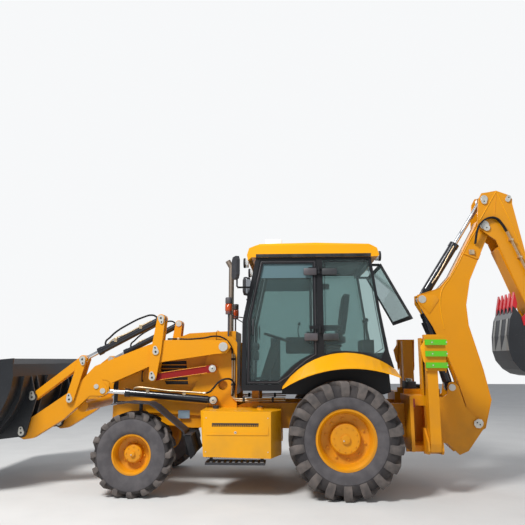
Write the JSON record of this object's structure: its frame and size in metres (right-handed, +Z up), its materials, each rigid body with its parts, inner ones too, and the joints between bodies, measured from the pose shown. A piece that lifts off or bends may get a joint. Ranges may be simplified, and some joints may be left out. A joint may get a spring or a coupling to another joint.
{
  "type": "backhoe loader",
  "caption": "Backhoe loader with a front bucket on levelling arms, a glazed cab, a folded digging arm at the rear, stabilisers and four treaded wheels.",
  "frame": {"origin": "on the ground, half way along the machine and in the middle of its width", "axes": "+X forward, towards the loader bucket; +Y to the machine's left; +Z up"},
  "size_m": [7.8455, 2.2, 3.884],
  "materials": {
    "yellow_paint": "gloss",
    "bright_yellow": "gloss",
    "red_paint": "gloss",
    "black_paint": "satin",
    "bucket_steel": "satin",
    "chrome_rod": "polished",
    "pin_steel": "satin",
    "tyre_rubber": "matt",
    "cab_black": "satin",
    "tinted_glass": "clear",
    "black_plastic": "matt",
    "seat_fabric": "woven",
    "engine_iron": "cast",
    "lamp_amber": "gloss"
  },
  "bodies": {
    "chassis": {"main_frame": "yellow_paint", "engine": "engine_iron", "axles": "yellow_paint", "front_mudguards": "black_plastic", "cab_frame": "cab_black", "cab_glass": "tinted_glass", "cab_roof": "bright_yellow", "rear_fenders": "bright_yellow", "side_boxes": "bright_yellow", "seat": "seat_fabric", "console": "black_plastic", "lamps": "lamp_amber"},
    "bonnet": {"bonnet": "yellow_paint", "front_grille": "black_plastic"},
    "door_left": {"door_left": "cab_black", "door_glass_left": "tinted_glass"},
    "door_right": {"door_right": "cab_black", "door_glass_right": "tinted_glass"},
    "rear_wheel_left": {"rear_tyre_left": "tyre_rubber", "rear_rim_left": "yellow_paint"},
    "rear_wheel_right": {"rear_tyre_right": "tyre_rubber", "rear_rim_right": "yellow_paint"},
    "front_wheel_left": {"front_tyre_left": "tyre_rubber", "front_rim_left": "yellow_paint"},
    "front_wheel_right": {"front_tyre_right": "tyre_rubber", "front_rim_right": "yellow_paint"},
    "hub_left": {"knuckle_left": "engine_iron"},
    "hub_right": {"knuckle_right": "engine_iron"},
    "arms": {"loader_arms": "yellow_paint"},
    "lift_barrels": {"lift_barrels": "black_paint"},
    "lift_rods": {"lift_rods": "chrome_rod"},
    "level_links": {"level_links": "red_paint"},
    "levers": {"levers": "yellow_paint"},
    "lever_pins": {"lever_pins": "pin_steel"},
    "tilt_barrels": {"tilt_barrels": "black_paint"},
    "tilt_rods": {"tilt_rods": "chrome_rod"},
    "front_lever_pins": {"front_lever_pins": "pin_steel"},
    "front_levers": {"front_levers": "yellow_paint"},
    "front_link_pins": {"front_link_pins": "pin_steel"},
    "front_links": {"front_links": "yellow_paint"},
    "bucket_pins": {"bucket_pins": "pin_steel"},
    "loader_bucket": {"loader_bucket": "bucket_steel"},
    "swing_post": {"swing_post": "yellow_paint"},
    "boom": {"boom": "yellow_paint"},
    "boom_barrel": {"boom_barrel": "black_paint"},
    "boom_rod": {"boom_rod": "chrome_rod"},
    "dipper": {"dipper": "yellow_paint"},
    "dipper_barrel": {"dipper_barrel": "black_paint"},
    "dipper_rod": {"dipper_rod": "chrome_rod"},
    "bucket_barrel": {"bucket_barrel": "black_paint"},
    "bucket_rod": {"bucket_rod": "chrome_rod"},
    "rocker": {"rocker": "yellow_paint"},
    "bucket_link": {"bucket_link": "yellow_paint"},
    "digging_bucket": {"digging_bucket": "bucket_steel"},
    "stabiliser_left": {"stabiliser_left": "yellow_paint"},
    "stabiliser_right": {"stabiliser_right": "yellow_paint"},
    "stabiliser_barrel_left": {"stabiliser_barrel_left": "black_paint"},
    "stabiliser_barrel_right": {"stabiliser_barrel_right": "black_paint"},
    "stabiliser_rod_left": {"stabiliser_rod_left": "chrome_rod"},
    "stabiliser_rod_right": {"stabiliser_rod_right": "chrome_rod"}
  },
  "joints": [
    {"name": "rear_wheel_left_spin", "type": "hinge", "parent": "chassis", "child": "rear_wheel_left", "pos_m": [-0.98721, 0.885, 0.665], "axis": [0, 1, 0], "continuous": true},
    {"name": "steer_left", "type": "hinge", "parent": "chassis", "child": "hub_left", "pos_m": [1.50779, 0.68, 0.482], "axis": [0, 0, 1], "range_deg": [-30, 30]},
    {"name": "front_wheel_left_spin", "type": "hinge", "parent": "hub_left", "child": "front_wheel_left", "pos_m": [1.50779, 0.895, 0.482], "axis": [0, 1, 0], "continuous": true},
    {"name": "rear_wheel_right_spin", "type": "hinge", "parent": "chassis", "child": "rear_wheel_right", "pos_m": [-0.98721, -0.885, 0.665], "axis": [0, 1, 0], "continuous": true},
    {"name": "steer_right", "type": "hinge", "parent": "chassis", "child": "hub_right", "pos_m": [1.50779, -0.68, 0.482], "axis": [0, 0, 1], "range_deg": [-30, 30]},
    {"name": "front_wheel_right_spin", "type": "hinge", "parent": "hub_right", "child": "front_wheel_right", "pos_m": [1.50779, -0.895, 0.482], "axis": [0, 1, 0], "continuous": true},
    {"name": "door_left_hinge", "type": "hinge", "parent": "chassis", "child": "door_left", "pos_m": [-0.72521, 0.729, 2], "axis": [0, 0, 1], "range_deg": [0, 80]},
    {"name": "door_right_hinge", "type": "hinge", "parent": "chassis", "child": "door_right", "pos_m": [-0.72521, -0.729, 2], "axis": [0, 0, -1], "range_deg": [0, 80]},
    {"name": "bonnet_hinge", "type": "hinge", "parent": "chassis", "child": "bonnet", "pos_m": [0.61879, 0, 1.95], "axis": [0, -1, 0], "range_deg": [0, 45]},
    {"name": "loader_lift", "type": "hinge", "parent": "chassis", "child": "arms", "pos_m": [0.49479, 0, 1.735], "axis": [0, -1, 0], "range_deg": [-12, 58]},
    {"name": "lift_barrel_pivot", "type": "hinge", "parent": "chassis", "child": "lift_barrels", "pos_m": [0.61679, 0, 1.072], "axis": [0, -1, 0], "range_deg": [-11.5, 51.73]},
    {"name": "lift_rod_slide", "type": "slide", "parent": "lift_barrels", "child": "lift_rods", "axis": [0.9968, 0, 0.0794], "range_m": [-0.1377, 0.6274]},
    {"name": "level_link_pivot", "type": "hinge", "parent": "chassis", "child": "level_links", "pos_m": [0.63279, 0, 1.462], "axis": [0, -1, 0], "range_deg": [-14.74, 67.42]},
    {"name": "lever_pivot", "type": "hinge", "parent": "arms", "child": "levers", "pos_m": [1.35279, 0, 1.672], "axis": [0, -1, 0], "range_deg": [-59.3, 13.06]},
    {"name": "lever_pin_turn", "type": "hinge", "parent": "levers", "child": "lever_pins", "pos_m": [1.29879, 0, 2.099], "axis": [0, -1, 0], "range_deg": [-14.07, 64.18]},
    {"name": "front_lever_pin_turn", "type": "hinge", "parent": "arms", "child": "front_lever_pins", "pos_m": [2.43379, 0, 1.08], "axis": [0, -1, 0], "range_deg": [-50.68, 11.28]},
    {"name": "bucket_pin_turn", "type": "hinge", "parent": "arms", "child": "bucket_pins", "pos_m": [3.02279, 0, 0.673], "axis": [0, -1, 0], "range_deg": [-56.79, 12.54]},
    {"name": "bucket_tilt", "type": "hinge", "parent": "bucket_pins", "child": "loader_bucket", "pos_m": [3.02279, 0, 0.673], "axis": [0, -1, 0], "range_deg": [-50, 15]},
    {"name": "front_lever_pivot", "type": "hinge", "parent": "front_lever_pins", "child": "front_levers", "pos_m": [2.43379, 0, 1.08], "axis": [0, -1, 0], "range_deg": [-45.52, 14.36]},
    {"name": "front_link_pin_turn", "type": "hinge", "parent": "front_levers", "child": "front_link_pins", "pos_m": [2.29479, 0, 1.579], "axis": [0, -1, 0], "range_deg": [-10.69, 47.85]},
    {"name": "front_link_pivot", "type": "hinge", "parent": "front_link_pins", "child": "front_links", "pos_m": [2.29479, 0, 1.579], "axis": [0, -1, 0], "range_deg": [-13.59, 42.97]},
    {"name": "tilt_barrel_pivot", "type": "hinge", "parent": "lever_pins", "child": "tilt_barrels", "pos_m": [1.29879, 0, 2.099], "axis": [0, -1, 0], "range_deg": [-2.35, 5.5]},
    {"name": "tilt_rod_slide", "type": "slide", "parent": "tilt_barrels", "child": "tilt_rods", "axis": [0.8865, 0, -0.4628], "range_m": [-0.1227, 0.3858]},
    {"name": "backhoe_swing", "type": "hinge", "parent": "chassis", "child": "swing_post", "pos_m": [-2.25721, 0, 0.8], "axis": [0, 0, 1], "range_deg": [-90, 90]},
    {"name": "boom_pivot", "type": "hinge", "parent": "swing_post", "child": "boom", "pos_m": [-2.77021, 0, 0.754], "axis": [0, -1, 0], "range_deg": [0, 95]},
    {"name": "boom_barrel_pivot", "type": "hinge", "parent": "swing_post", "child": "boom_barrel", "pos_m": [-2.46521, 0, 1.215], "axis": [0, -1, 0], "range_deg": [-1, 105.66]},
    {"name": "boom_rod_slide", "type": "slide", "parent": "boom_barrel", "child": "boom_rod", "axis": [0.2598, 0, 0.9657], "range_m": [-0.01, 0.7823]},
    {"name": "dipper_pivot", "type": "hinge", "parent": "boom", "child": "dipper", "pos_m": [-3.03321, 0, 3.393], "axis": [0, 1, 0], "range_deg": [0, 110]},
    {"name": "dipper_barrel_pivot", "type": "hinge", "parent": "boom", "child": "dipper_barrel", "pos_m": [-2.15121, 0, 2.382], "axis": [0, 1, 0], "range_deg": [-1, 3.86]},
    {"name": "dipper_rod_slide", "type": "slide", "parent": "dipper_barrel", "child": "dipper_rod", "axis": [-0.5453, 0, 0.8382], "range_m": [-0.62, 0.01]},
    {"name": "digging_bucket_pivot", "type": "hinge", "parent": "dipper", "child": "digging_bucket", "pos_m": [-3.73721, 0, 1.714], "axis": [0, 1, 0], "range_deg": [0, 150]},
    {"name": "rocker_pivot", "type": "hinge", "parent": "dipper", "child": "rocker", "pos_m": [-3.66494, 0, 2.04153], "axis": [0, 1, 0], "range_deg": [-1, 128.95]},
    {"name": "bucket_link_pivot", "type": "hinge", "parent": "digging_bucket", "child": "bucket_link", "pos_m": [-3.8193, 0, 1.46649], "axis": [0, 1, 0], "range_deg": [-129.26, 1]},
    {"name": "bucket_barrel_pivot", "type": "hinge", "parent": "dipper", "child": "bucket_barrel", "pos_m": [-3.36821, 0, 3.748], "axis": [0, 1, 0], "range_deg": [-2.5, 1]},
    {"name": "bucket_rod_slide", "type": "slide", "parent": "bucket_barrel", "child": "bucket_rod", "axis": [-0.2541, 0, -0.9672], "range_m": [-0.5321, 0.01]},
    {"name": "stabiliser_left_swing", "type": "hinge", "parent": "chassis", "child": "stabiliser_left", "pos_m": [-2.04721, 0.78, 0.56], "axis": [-1, 0, 0], "range_deg": [0, 112]},
    {"name": "stabiliser_left_barrel_pivot", "type": "hinge", "parent": "chassis", "child": "stabiliser_barrel_left", "pos_m": [-2.04721, 0.56, 1.78], "axis": [-1, 0, 0], "range_deg": [-14.84, 1]},
    {"name": "stabiliser_left_rod_slide", "type": "slide", "parent": "stabiliser_barrel_left", "child": "stabiliser_rod_left", "axis": [0, 0.1893, -0.9819], "range_m": [-0.01, 0.6077]},
    {"name": "stabiliser_right_swing", "type": "hinge", "parent": "chassis", "child": "stabiliser_right", "pos_m": [-2.04721, -0.78, 0.56], "axis": [1, 0, 0], "range_deg": [0, 112]},
    {"name": "stabiliser_right_barrel_pivot", "type": "hinge", "parent": "chassis", "child": "stabiliser_barrel_right", "pos_m": [-2.04721, -0.56, 1.78], "axis": [1, 0, 0], "range_deg": [-14.84, 1]},
    {"name": "stabiliser_right_rod_slide", "type": "slide", "parent": "stabiliser_barrel_right", "child": "stabiliser_rod_right", "axis": [0, -0.1893, -0.9819], "range_m": [-0.01, 0.6077]}
  ],
  "couplings": [
    {"joint": "steer_right", "follows": "steer_left", "ratio": 1},
    {"joint": "lift_barrel_pivot", "follows": "loader_lift", "ratio": 0.87459},
    {"joint": "lift_rod_slide", "follows": "loader_lift", "m_per_rad": 0.60994},
    {"joint": "level_link_pivot", "follows": "loader_lift", "ratio": 1.1452},
    {"joint": "lever_pivot", "follows": "loader_lift", "ratio": -1.0052},
    {"joint": "lever_pin_turn", "follows": "loader_lift", "ratio": 1.0893},
    {"joint": "front_lever_pin_turn", "follows": "loader_lift", "ratio": -0.8566},
    {"joint": "bucket_pin_turn", "follows": "loader_lift", "ratio": -0.96194},
    {"joint": "front_lever_pivot", "follows": "bucket_tilt", "ratio": 0.89034},
    {"joint": "front_link_pin_turn", "follows": "loader_lift", "ratio": 0.8077},
    {"joint": "front_link_pivot", "follows": "bucket_tilt", "ratio": -0.83933},
    {"joint": "tilt_barrel_pivot", "follows": "bucket_tilt", "ratio": -0.090065},
    {"joint": "tilt_rod_slide", "follows": "bucket_tilt", "m_per_rad": -0.43065},
    {"joint": "boom_barrel_pivot", "follows": "boom_pivot", "ratio": 1.1017},
    {"joint": "boom_rod_slide", "follows": "boom_pivot", "m_per_rad": 0.46578},
    {"joint": "dipper_barrel_pivot", "follows": "dipper_pivot", "ratio": 0.026},
    {"joint": "dipper_rod_slide", "follows": "dipper_pivot", "m_per_rad": -0.31774},
    {"joint": "rocker_pivot", "follows": "digging_bucket_pivot", "ratio": 0.85301},
    {"joint": "bucket_link_pivot", "follows": "digging_bucket_pivot", "ratio": -0.85504},
    {"joint": "bucket_barrel_pivot", "follows": "digging_bucket_pivot", "ratio": -0.009997},
    {"joint": "bucket_rod_slide", "follows": "digging_bucket_pivot", "m_per_rad": -0.19942},
    {"joint": "stabiliser_left_barrel_pivot", "follows": "stabiliser_left_swing", "ratio": -0.12354},
    {"joint": "stabiliser_left_rod_slide", "follows": "stabiliser_left_swing", "m_per_rad": 0.30577},
    {"joint": "stabiliser_right_barrel_pivot", "follows": "stabiliser_right_swing", "ratio": -0.12354},
    {"joint": "stabiliser_right_rod_slide", "follows": "stabiliser_right_swing", "m_per_rad": 0.30577}
  ]
}
